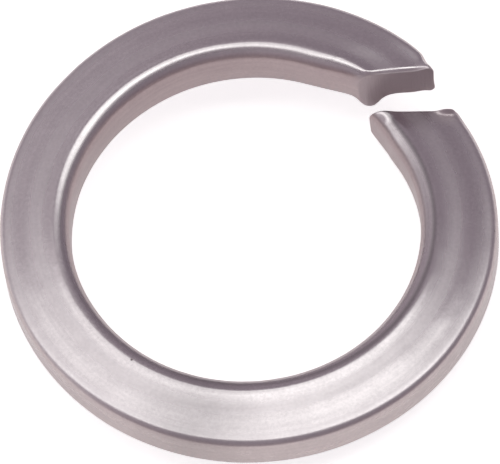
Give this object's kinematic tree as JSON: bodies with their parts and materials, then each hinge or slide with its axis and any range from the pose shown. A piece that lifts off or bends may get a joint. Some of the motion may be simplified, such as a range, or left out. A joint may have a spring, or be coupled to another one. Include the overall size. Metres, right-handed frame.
{
  "type": "spring lock washer",
  "caption": "Split spring lock washer: a coiled steel ring of keystone section with a slanted split and sprung-apart ends, clamped under a bolt head or nut.",
  "frame": {"origin": "on the bore axis, at the height of the washer's lowest point", "axes": "+Z along the bore axis, towards the high end of the turn; +X so that the split lies anticlockwise of it, in the quarter between +X and +Y"},
  "size_m": [0.0178, 0.0178, 0.0038],
  "materials": {
    "steel": "satin stainless spring steel, finely streaked along the wire"
  },
  "bodies": {
    "root": {"washer": "steel"}
  },
  "joints": []
}
